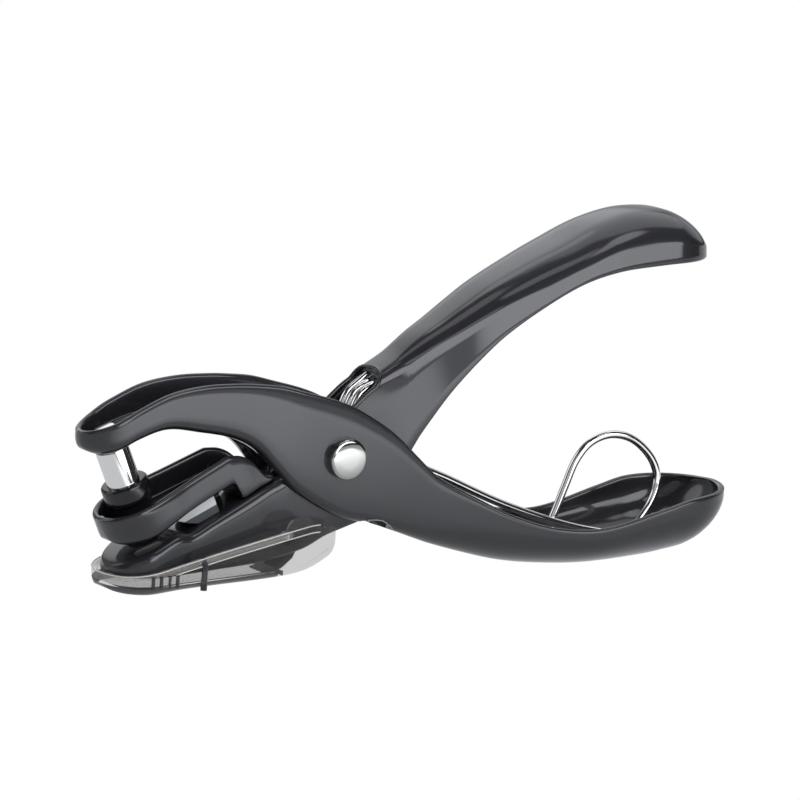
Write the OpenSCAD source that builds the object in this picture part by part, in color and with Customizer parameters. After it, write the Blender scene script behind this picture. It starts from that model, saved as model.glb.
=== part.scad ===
// Single hole punch: two crossing pressed-sheet levers, a punch pin in a guide,
// a torsion return spring and a clear chip tray. Millimetres, +Z up, nose towards -X.

/* [Overall] */
// Pivot distance behind the middle of the length
pivot_x = -17.45; // [-20:0.1:-12]
// Pivot height above the table
pivot_z = 23.69; // [22:0.01:26]
// Sheet thickness of the two levers
sheet = 1.2; // [0.8:0.1:1.6]

/* [Punch] */
// Punched hole size
pin_d = 6.0; // [5:0.1:7]
// Radial play of the pin in its bush
pin_play = 0.04; // [0.02:0.01:0.1]
// Lean of the jaw and of the pin
jaw_tilt = 24; // [20:0.5:28]
// Wall of the guide bush
bush_wall = 1.3; // [1:0.1:1.8]
// Sheet thickness of the punch guide
guide_sheet = 1.2; // [0.8:0.1:1.6]

/* [Pivot] */
// Rivet shank
rivet_d = 5.0; // [4:0.1:6]
// Rivet head
rivet_head_d = 7.5; // [7:0.1:9]
// Radial play of the turning lever on the rivet
rivet_play = 0.05; // [0.02:0.01:0.1]

/* [Spring] */
// Wire
wire_d = 1.5; // [1.2:0.1:1.7]
// Mean radius of the coil
coil_r = 4.2; // [3.8:0.1:4.6]
// Pitch of the coil
coil_pitch = 1.98; // [1.9:0.01:2.1]

/* [Tray] */
// Wall of the chip tray
tray_wall = 0.9; // [0.8:0.1:1.2]
// Boss that the tray hangs on
boss_d = 3.0; // [2.5:0.1:3.5]

/* [Hidden] */
$fn = 48;

// Half width of the handle lever where it crosses, and of the jaw lever's cheeks
inner_half = 4.6;
cheek_half = 6.6;
// Middle of the bush top, from the pivot
bush_x = -41.89;
bush_z = -2.86;
// How far the fronts of the levers and of the tray move with the bush
reach = bush_x + 41.89;
// Levels in the leaning jaw frame
seat_w = -12.91;
guide_floor_w = -9.2;
guide_rim_w = -3.85;
// Where the tray boss sits, from the pivot
boss_x = -10.4;
boss_z = -14.3;

// Smooth curve through rows [x, a, b, ...], column k
function row_at(c, x, i = 0) = (i >= len(c) - 2 || x < c[i + 1][0]) ? i : row_at(c, x, i + 1);
function row_slope(c, i, k) =
  let (a = max(i - 1, 0), b = min(i + 1, len(c) - 1))
  (c[b][k] - c[a][k]) / (c[b][0] - c[a][0]);
function curve(c, x, k) =
  let (i = row_at(c, x), h = c[i + 1][0] - c[i][0], t = (x - c[i][0]) / h,
       m0 = row_slope(c, i, k) * h, m1 = row_slope(c, i + 1, k) * h)
  (2*t*t*t - 3*t*t + 1) * c[i][k] + (t*t*t - 2*t*t + t) * m0
  + (3*t*t - 2*t*t*t) * c[i + 1][k] + (t*t*t - t*t) * m1;

// Stations along a pressed shell: rounded nose, plain middle, rounded tail
function stations(nose, nose_r, tail, tail_r, step) =
  let (a = nose + nose_r, b = tail - tail_r, n = ceil((b - a) / step))
  concat([for (k = [1:5]) a - nose_r * cos(15 * k)],
         [for (k = [0:n]) a + (b - a) * k / n],
         [for (k = [5:-1:1]) b + tail_r * cos(15 * k)]);

// Share of the full width left at x in a rounded end
function end_share(x, nose, nose_r, tail, tail_r) =
  x < nose + nose_r ? sqrt(max(0, 1 - pow((nose + nose_r - x) / nose_r, 2)))
  : x > tail - tail_r ? sqrt(max(0, 1 - pow((x - tail + tail_r) / tail_r, 2)))
  : 1;

// Station moved inwards in a rounded end, so that the end wall keeps its thickness
function drawn_in(x, nose, nose_r, tail, tail_r, t) =
  x < nose + nose_r ? nose + nose_r + (x - nose - nose_r) * (nose_r - t) / nose_r
  : x > tail - tail_r ? tail - tail_r + (x - tail + tail_r) * (tail_r - t) / tail_r
  : x;

arc_steps = 5;
// One cross line of a skin: rim, wall, corner arc, web, and back up the other side
function cross_line(x, rim, spine, w, ry, rz, flare) =
  let (d = spine - rim, q = sign(d) * min(rz, abs(d) * 0.96), p = min(ry, w),
       half = concat([[w + flare, rim]],
                     [for (k = [0:arc_steps])
                       [w - p * (1 - cos(90 * k / arc_steps)), spine - q * (1 - sin(90 * k / arc_steps))]]))
  concat([for (v = half) [x, -v[0], v[1]]],
         [[x, 0, spine]],
         [for (k = [len(half) - 1:-1:0]) [x, half[k][0], half[k][1]]]);

// A pressed shell from rows [x, rim, spine, half width, corner across, corner down, flare of the rim]
module pressed_shell(c, nose, nose_r, tail, tail_r, t, step, deep_nose, deep_tail) {
  xs = stations(nose, nose_r, tail, tail_r, step);
  n = len(xs);
  m = 2 * arc_steps + 5;
  side = curve(c, xs[floor(n / 2)], 2) > curve(c, xs[floor(n / 2)], 1) ? 1 : -1;
  outer = [for (x = xs)
    let (f = end_share(x, nose, nose_r, tail, tail_r),
         fd = pow(f, x < 0 ? deep_nose : deep_tail),
         rim = curve(c, x, 1), d = curve(c, x, 2) - rim)
    cross_line(x, rim, rim + d * fd, curve(c, x, 3) * f, curve(c, x, 4) * f, curve(c, x, 5) * fd,
               curve(c, x, 6) * f)];
  inner = [for (x = xs)
    let (f = end_share(x, nose, nose_r, tail, tail_r),
         fd = pow(f, x < 0 ? deep_nose : deep_tail),
         rim = curve(c, x, 1), d = curve(c, x, 2) - rim,
         lean = (curve(c, x + 0.5, 2) - curve(c, x - 0.5, 2)),
         drop = t * sqrt(1 + lean * lean),
         ri = max(0.4, 1 - t / max(curve(c, x, 4), 0.1)))
    cross_line(drawn_in(x, nose, nose_r, tail, tail_r, t), rim, rim + (d - side * drop) * fd,
               (curve(c, x, 3) - t) * f, curve(c, x, 4) * ri * f, curve(c, x, 5) * ri * fd,
               curve(c, x, 6) * f)];
  tips = [[nose, 0, curve(c, nose, 1)], [tail, 0, curve(c, tail, 1)],
          [nose + t, 0, curve(c, nose, 1)], [tail - t, 0, curve(c, tail, 1)]];
  pts = concat([for (r = outer) each r], [for (r = inner) each r], tips);
  q = n * m;
  e = 2 * q;
  skin = [for (i = [0:n - 2], j = [0:m - 2]) each
    [[i*m + j, (i+1)*m + j, (i+1)*m + j + 1], [i*m + j, (i+1)*m + j + 1, i*m + j + 1]]];
  ends = concat([for (j = [0:m - 2]) [e, j, j + 1]],
                [for (j = [0:m - 2]) [e + 1, (n-1)*m + j + 1, (n-1)*m + j]]);
  inside = [for (f = skin) [f[0] + q, f[2] + q, f[1] + q]];
  inside_ends = [for (f = ends) [f[0] + 2, f[2] + q, f[1] + q]];
  rims = [for (i = [0:n - 2]) each
    [[i*m, q + i*m, q + (i+1)*m], [i*m, q + (i+1)*m, (i+1)*m],
     [i*m + m - 1, q + (i+1)*m + m - 1, q + i*m + m - 1],
     [i*m + m - 1, (i+1)*m + m - 1, q + (i+1)*m + m - 1]]];
  last = (n - 1) * m;
  corners = [[e, e + 2, q], [e, q, 0], [e, q + m - 1, e + 2], [e, m - 1, q + m - 1],
             [e + 1, q + last, e + 3], [e + 1, last, q + last],
             [e + 1, e + 3, q + last + m - 1], [e + 1, q + last + m - 1, last + m - 1]];
  faces = concat(skin, ends, inside, inside_ends, rims, corners);
  polyhedron(pts, side > 0 ? [for (f = faces) [f[0], f[2], f[1]]] : faces);
}

// Jaw lever: upper jaw, cheeks round the pivot, dished lower handle
jaw_nose = bush_x - 9.51;
jaw_tail = 86.3;
jaw_rows = [
  [reach - 53, 6.2, 2.15, 6.0, 4.2, 3.0, 0],
  [reach - 47, 8.6, 2.4, 5.9, 3.8, 2.6, 0],
  [reach - 42, 11.1, 4.85, 5.9, 3.2, 2.2, 0],
  [reach - 36, 13.5, 6.7, 5.9, 2.4, 2.0, 0],
  [reach - 29, 14.55, 5.85, 5.9, 2.2, 2.0, 0],
  [reach / 2 - 22, 14.55, 4.35, 5.9, 2.2, 2.0, 0],
  [-17.5, 14.2, 2.1, 6.0, 2.0, 2.0, 0],
  [-13.5, 13.7, -1.85, 6.3, 1.6, 2.0, 0],
  [-9.5, 12.7, -5.7, cheek_half, 1.4, 2.0, 0],
  [0, 9.9, -11.0, cheek_half, 1.4, 2.0, 0],
  [6.9, 6.3, -12.7, cheek_half, 1.4, 2.0, 0],
  [11.4, 3.2, -14.2, cheek_half, 1.6, 2.2, 0],
  [16, -0.9, -15.9, cheek_half, 2.2, 2.6, 0],
  [20.4, -4.7, -17.5, 6.7, 3.0, 3.4, 0],
  [28.8, -9.1, -20.0, 7.5, 4.5, 5.0, 0],
  [36.2, -12.6, -21.9, 8.6, 6.5, 6.0, 0],
  [45.1, -15.2, -23.2, 10.0, 9.0, 6.0, 0],
  [54.8, -15.6, -23.7, 11.3, 11.0, 6.0, 0],
  [67.6, -12.7, -23.2, 12.0, 12.0, 8.0, 0],
  [74, -11.2, -22.4, 12.0, 12.0, 8.0, 0],
  [87, -10.4, -21.2, 12.0, 12.0, 8.0, 0]];

// Handle lever: lower jaw with the die hole, cheeks inside, raised upper handle
handle_nose = bush_x - 2.71;
handle_tail = 78.9;
handle_rows = [
  [reach - 47, -19.4, -17.9, 7.6, 2.2, 1.6, 0],
  [reach - 38.3, -19.4, -14.15, 7.4, 1.6, 1.6, 0],
  [reach - 33.4, -19.3, -11.95, 6.8, 1.6, 1.6, 0],
  [reach - 30.8, -19.2, -12.06, 6.5, 1.6, 1.6, 0],
  [reach - 26, -19.0, -9.93, 6.0, 1.6, 1.8, 0],
  [reach - 18, -18.7, -6.36, 5.1, 1.8, 2.2, 0],
  [reach / 2 - 14, -18.3, -4.58, inner_half + 0.05, 1.5, 2.0, 0],
  [-11, -17.8, -3.25, inner_half, 1.4, 2.0, 0],
  [-6, -16.5, 1.8, inner_half, 1.4, 2.0, 0],
  [-2, -14.6, 6.0, inner_half, 1.4, 2.0, 0],
  [2.2, -13.3, 9.9, inner_half, 1.4, 2.0, 0],
  [6, -12.0, 13.2, inner_half, 1.6, 2.2, 0],
  [9.5, -9.5, 15.3, inner_half, 2.0, 2.4, 0.1],
  [13, -3.9, 17.4, inner_half + 0.1, 2.4, 2.6, 0.3],
  [15.7, 1.5, 19.4, 4.9, 2.8, 2.6, 0.6],
  [18.1, 5.3, 21.1, 5.2, 3.2, 2.7, 0.9],
  [22, 10.7, 23.5, 5.7, 3.8, 3.0, 1.2],
  [27, 16.4, 26.7, 6.4, 4.4, 3.4, 1.6],
  [32.1, 21.2, 29.8, 7.1, 5.0, 3.8, 1.9],
  [40.4, 26.7, 33.9, 7.9, 5.6, 4.3, 2.3],
  [47.4, 30.2, 37.0, 8.4, 6.2, 4.7, 2.5],
  [54.7, 32.1, 40.2, 8.8, 6.8, 5.2, 2.4],
  [62.2, 32.8, 42.1, 9.0, 7.4, 5.8, 2.2],
  [70, 33.2, 42.0, 9.6, 8.4, 6.0, 1.6],
  [80, 33.1, 40.4, 10.4, 9.0, 5.6, 0.6]];

module at_pivot() {
  translate([pivot_x, 0, pivot_z]) children();
}

module in_jaw() {
  at_pivot() translate([bush_x, 0, bush_z]) rotate([0, -jaw_tilt, 0]) children();
}

// Slot shape with round ends between two x values
module slot_2d(x0, x1, half) {
  translate([x0 + half, 0]) circle(half);
  translate([x1 - half, 0]) circle(half);
  translate([x0 + half, -half]) square([x1 - x0 - 2 * half, 2 * half]);
}

// Plan of the opening in the jaw lever's web: narrow in the jaw, wide between the cheeks
module web_opening(half) {
  front = [[-20.4, 0], [-19.8, 1.5], [-18.4, 2.6], [-16.8, 3.2], [-13.6, half - 0.4], [-10.5, half]];
  back = [for (k = [0:6]) [6 + 5.6 * sin(15 * k), half * cos(15 * k)]];
  polygon(concat(front, back, [for (k = [5:-1:0]) [back[k][0], -back[k][1]]],
                 [for (k = [5:-1:1]) [front[k][0], -front[k][1]]]));
}

edge_bite = [[4.2, -12.3], [7, -11.9], [9.6, -12.6], [11.5, -13.7], [12.5, -15.2], [11.5, -17], [4, -17]];

module jaw_lever() {
  color([0.16, 0.16, 0.17])
  difference() {
    at_pivot() pressed_shell(jaw_rows, jaw_nose, 8.0, jaw_tail, 13, sheet, 3.4, 0.38, 1.3);
    // Opening in the web that lets the handle lever through
    at_pivot() translate([0, 0, -18]) linear_extrude(26) web_opening(cheek_half - sheet - 0.25);
    // Bite where the opening runs out into the lower edge
    at_pivot() rotate([90, 0, 0]) linear_extrude(40, center = true) polygon(edge_bite);
    // Rivet holes
    at_pivot() rotate([90, 0, 0]) cylinder(d = rivet_d, h = 40, center = true);
    // Slot that holds the neck of the pin
    at_pivot() translate([0, 0, -4]) linear_extrude(12) slot_2d(pin_slot[0], pin_slot[1], neck_d / 2 + 0.35);
  }
}

module handle_lever() {
  color([0.17, 0.17, 0.18])
  difference() {
    at_pivot() pressed_shell(handle_rows, handle_nose, 7.0, handle_tail, 10.9, sheet, 3.4, 0.3, 1.0);
    // Window in the web for the spring
    at_pivot() translate([0, 0, -10]) linear_extrude(30) slot_2d(-12, 9.2, inner_half - sheet - 0.1);
    // Rivet holes
    at_pivot() rotate([90, 0, 0]) cylinder(d = rivet_d + 2 * rivet_play, h = 40, center = true);
    // Die hole
    in_jaw() translate([0, 0, -20]) cylinder(d = pin_d + 0.12, h = 12);
    // Tray boss holes
    at_pivot() translate([boss_x, 0, boss_z]) rotate([90, 0, 0])
      cylinder(d = boss_d + 0.12, h = 40, center = true);
  }
}

// Guide: nose round the pin, waist, straight tail on the jaw
guide_nose_r = 7.2;
guide_waist = 5.9;
guide_waist_u = 9;
guide_tail = 4.8;
guide_end = 3.6;
guide_bend_u = 18.7;
guide_end_u = 27.1;
bush_bore = pin_d / 2 + pin_play;
spigot_r = bush_bore + 0.45 * bush_wall;

// Plan of the guide, drawn in by a margin
module guide_plan(inset) {
  nose = [for (k = [0:20]) (guide_nose_r - inset) * [cos(60 + 12 * k), sin(60 + 12 * k)]];
  polygon(concat(nose, [[guide_waist_u, inset - guide_waist], [guide_bend_u, inset - guide_tail],
                        [guide_end_u - inset, inset - guide_end], [guide_end_u - inset, guide_end - inset],
                        [guide_bend_u, guide_tail - inset], [guide_waist_u, guide_waist - inset]]));
}

module punch_guide() {
  foot_w = seat_w + 0.15;
  color([0.15, 0.15, 0.16])
  in_jaw() difference() {
    intersection() {
      translate([0, 0, foot_w - 1]) linear_extrude(guide_rim_w - foot_w + 1.5) guide_plan(0);
      // Side view: nose, rim, sloping back, foot on the jaw
      rotate([90, 0, 0]) linear_extrude(4 * guide_nose_r, center = true)
        polygon([[-guide_nose_r - 1, guide_floor_w], [guide_bend_u - 0.2, guide_floor_w],
                 [guide_bend_u + 0.2, foot_w], [guide_end_u + 1, foot_w], [guide_end_u + 1, foot_w + 0.6],
                 [guide_end_u - 2.4, foot_w + 2.0], [guide_bend_u + 4.4, guide_rim_w - 3.3],
                 [guide_bend_u + 2.6, guide_rim_w - 1.3], [guide_bend_u, guide_rim_w],
                 [-guide_nose_r - 1, guide_rim_w]]);
    }
    // Hollow between the walls
    translate([0, 0, guide_floor_w + guide_sheet]) linear_extrude(guide_rim_w - guide_floor_w)
      intersection() {
        guide_plan(guide_sheet);
        translate([-2 * guide_nose_r, -2 * guide_nose_r])
          square([2 * guide_nose_r + guide_bend_u + 4, 4 * guide_nose_r]);
      }
    // Hole for the bush
    translate([0, 0, guide_floor_w - 1]) cylinder(r = spigot_r, h = guide_sheet + 2);
  }
}

// Bush: spigot in the guide's floor, narrower stem, rounded collar round the pin
collar_r = bush_bore + bush_wall;
collar_low_w = -3.6;
stem_r = bush_bore + 0.55 * bush_wall;
collar_round = 0.5 * bush_wall;

module guide_bush() {
  color([0.13, 0.13, 0.14])
  in_jaw() rotate_extrude()
    polygon([[bush_bore, guide_floor_w],
             [spigot_r, guide_floor_w],
             [spigot_r, guide_floor_w + guide_sheet],
             [stem_r, guide_floor_w + guide_sheet],
             [stem_r, collar_low_w],
             [collar_r - 0.1 * bush_wall, collar_low_w + 0.3],
             [collar_r, collar_low_w + 0.8],
             for (k = [0:4])
               [collar_r - collar_round * (1 - cos(22.5 * k)), collar_round * (sin(22.5 * k) - 1)],
             [bush_bore, 0]]);
}

// Paper stop between the guide's floor and the jaw
stop_front_u = 4.2;
stop_back_u = 14;
stop_width = 7;

module paper_stop() {
  top_w = guide_floor_w - 0.05;
  low_w = seat_w + 0.1;
  color([0.62, 0.63, 0.64])
  in_jaw() rotate([90, 0, 0]) linear_extrude(stop_width, center = true)
    polygon([[stop_front_u, top_w], [stop_back_u, top_w], [stop_back_u, low_w],
             [stop_back_u - 4.6, low_w], [stop_front_u + 3.4, low_w + 1]]);
}

neck_d = 3.4;
neck_low = 6.9;
neck_high = 9.7;
head_top = 10.7;
head_r = 2.3;
pin_tip = -9.0;
pin_slot = [bush_x - 6.4, bush_x + 1.8];

module punch_pin() {
  color([0.8, 0.81, 0.82])
  in_jaw() rotate_extrude()
    polygon([[0, pin_tip], [pin_d / 2 - 0.15, pin_tip], [pin_d / 2, pin_tip + 0.15],
             [pin_d / 2, neck_low - 0.3], [pin_d / 2 - 0.3, neck_low], [neck_d / 2, neck_low],
             [neck_d / 2, neck_high], [head_r, neck_high], [head_r, head_top - 0.4],
             [head_r - 0.4, head_top], [0, head_top]]);
}

// Rivet: heads on both cheeks
head_proud = 1.8;
head_seat = cheek_half + 0.02;

module pivot_rivet() {
  end = cheek_half + head_proud;
  flat = rivet_head_d / 2 - 0.55;
  color([0.82, 0.83, 0.84])
  at_pivot() rotate([90, 0, 0]) rotate_extrude()
    polygon([[0, -end], [flat, -end], [rivet_head_d / 2, 0.6 - end], [rivet_head_d / 2, -head_seat],
             [rivet_d / 2, -head_seat], [rivet_d / 2, head_seat], [rivet_head_d / 2, head_seat],
             [rivet_head_d / 2, end - 0.6], [flat, end], [0, end]]);
}

// Wire path: upper leg, coil, lower leg, raised loop
coil_x = 9.9;
coil_z = 6.4;
leg_up = 41;
leg_length = 5.4;
leg_down = 27;
coil_start = 90 + leg_up;
coil_end = 270 - leg_down + 720;
coil_rise = coil_pitch * (coil_end - coil_start) / 360;
loop_rows = [
  [0, 24.6, -6.0, -2.1],
  [1, 38.0, -11.9, -1.5],
  [2, 51.9, -16.7, -0.9],
  [3, 61.9, -19.0, -0.8],
  [4, 66.6, -19.3, -0.7],
  [5, 69.6, -16.9, -0.5],
  [6, 72.4, -13.2, -0.2],
  [7, 73.3, -9.4, 0.0],
  [8, 71.6, -5.3, 0.3],
  [9, 67.5, -1.8, 0.6],
  [10, 62.7, -0.7, 0.8],
  [11, 58.4, -2.0, 1.0],
  [12, 55.5, -5.2, 1.2],
  [13, 53.6, -9.6, 1.3],
  [14, 51.9, -14.0, 1.4]];
wire_path = concat(
  [for (k = [0:3]) [coil_x + coil_r * cos(coil_start) + leg_length * (1 - k / 4) * cos(leg_up), coil_rise / 2,
                    coil_z + coil_r * sin(coil_start) + leg_length * (1 - k / 4) * sin(leg_up)]],
  [for (k = [1:19]) let (a = coil_start + (coil_end - coil_start) * k / 19)
    [coil_x + coil_r * cos(a), coil_rise / 2 - coil_rise * k / 19, coil_z + coil_r * sin(a)]],
  [for (k = [0:28]) let (u = k / 2)
    [curve(loop_rows, u, 1), curve(loop_rows, u, 3), curve(loop_rows, u, 2)]]);

function unit(v) = v / norm(v);
function run_at(p, i) = unit(p[min(i + 1, len(p) - 1)] - p[max(i - 1, 0)]);

// Least distance between rings of the wire that are not neighbours, less the wire
function least_gap(p) = min([for (i = [0:len(p) - 1], j = [0:len(p) - 1])
  if (j > i + 4) norm(p[i] - p[j])]) - wire_d;

module return_spring() {
  p = wire_path;
  n = len(p);
  s = 6;
  echo(spring_gap = least_gap(p));
  rings = [for (i = [0:n - 1])
    let (t = run_at(p, i), u = unit(cross(t, [0, 1, 0])), v = cross(u, t))
    for (k = [0:s - 1]) p[i] + wire_d / 2 * (cos(360 * k / s) * u + sin(360 * k / s) * v)];
  pts = concat(rings, [p[0], p[n - 1]]);
  sides = [for (i = [0:n - 2], k = [0:s - 1]) let (l = (k + 1) % s) each
    [[i*s + k, (i+1)*s + l, (i+1)*s + k], [i*s + k, i*s + l, (i+1)*s + l]]];
  caps = concat([for (k = [0:s - 1]) [n*s, (k + 1) % s, k]],
                [for (k = [0:s - 1]) [n*s + 1, (n-1)*s + k, (n-1)*s + (k + 1) % s]]);
  color([0.78, 0.79, 0.8])
  at_pivot() polyhedron(pts, concat(sides, caps));
}

// Chip tray: a shallow clear boat that hangs on two bosses
tray_nose = handle_nose - 1.4;
tray_nose_r = 7.8;
tray_tail_r = 3.5;
tray_back = -12;
tray_tail = 0.25;
tray_foot = -22.15;
tray_half = 9.1;
tray_rows = [
  [reach - 48, -18.9, -22.5, tray_half, 3.0, 2.4, 0],
  [reach - 44.7, -18.8, -22.5, tray_half, 3.0, 2.4, 0],
  [reach - 40.3, -18.1, -22.4, tray_half, 3.0, 2.4, 0],
  [reach - 33, -16.5, -21.8, tray_half - 0.1, 3.0, 2.4, 0],
  [reach - 26.5, -15.1, -21.5, tray_half - 0.2, 3.0, 2.4, 0],
  [reach / 2 - 16, -13.1, -21.1, 8.5, 2.6, 2.4, 0],
  [-10, -12.0, -20.4, 8.3, 1.6, 2.4, 0],
  [-6, -11.4, -19.2, 8.2, 1.2, 2.0, 0],
  [0.5, -11.9, -15.4, 8.2, 1.0, 1.6, 0]];
// Inner half width of the gap at the back, and of the tongue between the cheeks
tray_gap = cheek_half + 0.2;
tongue_half = inner_half - sheet - 0.35;
boss_reach = inner_half - sheet + 0.1;
tongue = [[-13.4, -20.4], [-10.6, -19.5], [-8.6, -17.9], [-7.4, -15.6], [-6.6, -15.9], [-7.9, -18.5],
          [-10.1, -20.2], [-13.0, -21.2]];

module chip_tray() {
  color([0.35, 0.36, 0.38, 0.6])
  union() {
    difference() {
      at_pivot()
        pressed_shell(tray_rows, tray_nose, tray_nose_r, tray_tail, tray_tail_r, tray_wall, 3.2, 0.35, 0.3);
      // Open at the back, so that the lever stays clear when the tray swings down
      at_pivot() translate([tray_back, -tray_gap, tray_foot - 2]) cube([2 - tray_back, 2 * tray_gap, 14]);
      // Flat foot
      at_pivot() translate([tray_nose - 5, -2 * tray_half, tray_foot - 5])
        cube([5 - tray_nose, 4 * tray_half, 5]);
    }
    // Floor tongue that turns up between the cheeks
    at_pivot() rotate([90, 0, 0]) linear_extrude(2 * tongue_half, center = true) polygon(tongue);
    for (side = [-1, 1]) {
      // Boss in the lever's hole
      at_pivot() translate([boss_x, side * (boss_reach + 7.9) / 2, boss_z]) rotate([90, 0, 0])
        cylinder(d = boss_d, h = 7.9 - boss_reach, center = true);
      // Raised ear round the boss
      at_pivot() translate([boss_x + 1.1, side * 7.9, boss_z + 1.4]) rotate([90, 0, 0])
        cylinder(r = 3.1, h = 0.7, center = true);
      // Grip ribs and foot post
      for (k = [0:3])
        at_pivot() translate([reach + 1.65 * k - 40.1, side * (tray_half - 0.05), tray_foot + 0.3])
          cylinder(r = 0.35, h = 3.2);
      at_pivot() translate([reach - 29.6, side * (tray_half - 0.25), tray_foot + 0.1])
        cylinder(r = 0.6, h = 5.4);
    }
  }
}

handle_lever();
jaw_lever();
punch_guide();
guide_bush();
paper_stop();
punch_pin();
pivot_rivet();
return_spring();
chip_tray();
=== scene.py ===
import math
from collections import namedtuple

import bmesh
import bpy
from mathutils import Matrix, Vector


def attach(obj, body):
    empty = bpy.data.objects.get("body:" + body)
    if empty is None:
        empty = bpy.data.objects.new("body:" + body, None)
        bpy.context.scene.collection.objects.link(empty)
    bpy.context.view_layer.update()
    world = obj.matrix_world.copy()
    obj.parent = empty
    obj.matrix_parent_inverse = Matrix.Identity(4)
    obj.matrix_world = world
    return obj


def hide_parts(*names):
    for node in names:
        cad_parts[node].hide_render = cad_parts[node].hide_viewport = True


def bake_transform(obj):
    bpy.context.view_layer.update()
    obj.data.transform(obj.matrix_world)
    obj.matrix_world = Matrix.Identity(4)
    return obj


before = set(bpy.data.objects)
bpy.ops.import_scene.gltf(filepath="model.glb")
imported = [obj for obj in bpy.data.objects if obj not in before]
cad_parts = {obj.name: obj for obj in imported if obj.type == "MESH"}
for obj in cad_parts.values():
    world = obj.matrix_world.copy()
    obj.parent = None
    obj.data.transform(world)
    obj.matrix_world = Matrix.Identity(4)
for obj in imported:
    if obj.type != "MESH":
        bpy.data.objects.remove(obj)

bl_info = {
    "name": "Single Hole Punch",
    "version": (1, 0, 0),
    "blender": (4, 5, 0),
    "location": "View3D > Sidebar > Hole Punch",
    "description": "Builds the looks of a one-hand hole punch around its CAD frame",
    "category": "Add Mesh",
}

# Places: sizes are in millimetres. Two frames are used, one from the rivet's middle with x to the rear,
# and one from the top of the bush that leans with the lower jaw: u along the jaw, w up the pin

MM = 0.001
PIVOT = Vector((-17.45, 0.0, 23.69))
BUSH = Vector((-41.89, 0.0, -2.86))
JAW_TILT = math.radians(24)
ACROSS = Vector((0, 1, 0))
UP = Vector((0, 0, 1))


def at_pivot(p):
    return (Vector(p) + PIVOT) * MM


def in_jaw(p):
    u, y, w = p
    c, s = math.cos(JAW_TILT), math.sin(JAW_TILT)
    return at_pivot((BUSH.x + u * c - w * s, y, BUSH.z + u * s + w * c))


def side_view(p):
    """A point given as x, height and distance across."""
    return at_pivot((p[0], p[2], p[1]))


def jaw_side_view(p):
    return in_jaw((p[0], p[2], p[1]))


# Pressed shells: x, then these columns. Corner sizes are across and down, flare is how far the rim leans out

RIM, SPINE, HALF, CORNER_ACROSS, CORNER_DOWN, FLARE = range(1, 7)
JAW_ROWS = (
    (-53, 6.2, 2.15, 6.0, 4.2, 3.0, 0),
    (-47, 8.6, 2.4, 5.9, 3.8, 2.6, 0),
    (-42, 11.1, 4.85, 5.9, 3.2, 2.2, 0),
    (-36, 13.5, 6.7, 5.9, 2.4, 2.0, 0),
    (-29, 14.55, 5.85, 5.9, 2.2, 2.0, 0),
    (-22, 14.55, 4.35, 5.9, 2.2, 2.0, 0),
    (-17.5, 14.2, 2.1, 6.0, 2.0, 2.0, 0),
    (-13.5, 13.7, -1.85, 6.3, 1.6, 2.0, 0),
    (-9.5, 12.7, -5.7, 6.6, 1.4, 2.0, 0),
    (0, 9.9, -11.0, 6.6, 1.4, 2.0, 0),
    (6.9, 6.3, -12.7, 6.6, 1.4, 2.0, 0),
    (11.4, 3.2, -14.2, 6.6, 1.6, 2.2, 0),
    (16, -0.9, -15.9, 6.6, 2.2, 2.6, 0),
    (20.4, -4.7, -17.5, 6.7, 3.0, 3.4, 0),
    (28.8, -9.1, -20.0, 7.5, 4.5, 5.0, 0),
    (36.2, -12.6, -21.9, 8.6, 6.5, 6.0, 0),
    (45.1, -15.2, -23.2, 10.0, 9.0, 6.0, 0),
    (54.8, -15.6, -23.7, 11.3, 11.0, 6.0, 0),
    (67.6, -12.7, -23.2, 12.0, 12.0, 8.0, 0),
    (74, -11.2, -22.4, 12.0, 12.0, 8.0, 0),
    (87, -10.4, -21.2, 12.0, 12.0, 8.0, 0),
)
HANDLE_ROWS = (
    (-47, -19.4, -17.9, 7.6, 2.2, 1.6, 0),
    (-38.3, -19.4, -14.15, 7.4, 1.6, 1.6, 0),
    (-33.4, -19.3, -11.95, 6.8, 1.6, 1.6, 0),
    (-30.8, -19.2, -12.06, 6.5, 1.6, 1.6, 0),
    (-26, -19.0, -9.93, 6.0, 1.6, 1.8, 0),
    (-18, -18.7, -6.36, 5.1, 1.8, 2.2, 0),
    (-14, -18.3, -4.58, 4.65, 1.5, 2.0, 0),
    (-11, -17.8, -3.25, 4.6, 1.4, 2.0, 0),
    (-6, -16.5, 1.8, 4.6, 1.4, 2.0, 0),
    (-2, -14.6, 6.0, 4.6, 1.4, 2.0, 0),
    (2.2, -13.3, 9.9, 4.6, 1.4, 2.0, 0),
    (6, -12.0, 13.2, 4.6, 1.6, 2.2, 0),
    (9.5, -9.5, 15.3, 4.6, 2.0, 2.4, 0.1),
    (13, -3.9, 17.4, 4.7, 2.4, 2.6, 0.3),
    (15.7, 1.5, 19.4, 4.9, 2.8, 2.6, 0.6),
    (18.1, 5.3, 21.1, 5.2, 3.2, 2.7, 0.9),
    (22, 10.7, 23.5, 5.7, 3.8, 3.0, 1.2),
    (27, 16.4, 26.7, 6.4, 4.4, 3.4, 1.6),
    (32.1, 21.2, 29.8, 7.1, 5.0, 3.8, 1.9),
    (40.4, 26.7, 33.9, 7.9, 5.6, 4.3, 2.3),
    (47.4, 30.2, 37.0, 8.4, 6.2, 4.7, 2.5),
    (54.7, 32.1, 40.2, 8.8, 6.8, 5.2, 2.4),
    (62.2, 32.8, 42.1, 9.0, 7.4, 5.8, 2.2),
    (70, 33.2, 42.0, 9.6, 8.4, 6.0, 1.6),
    (80, 33.1, 40.4, 10.4, 9.0, 5.6, 0.6),
)
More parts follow.
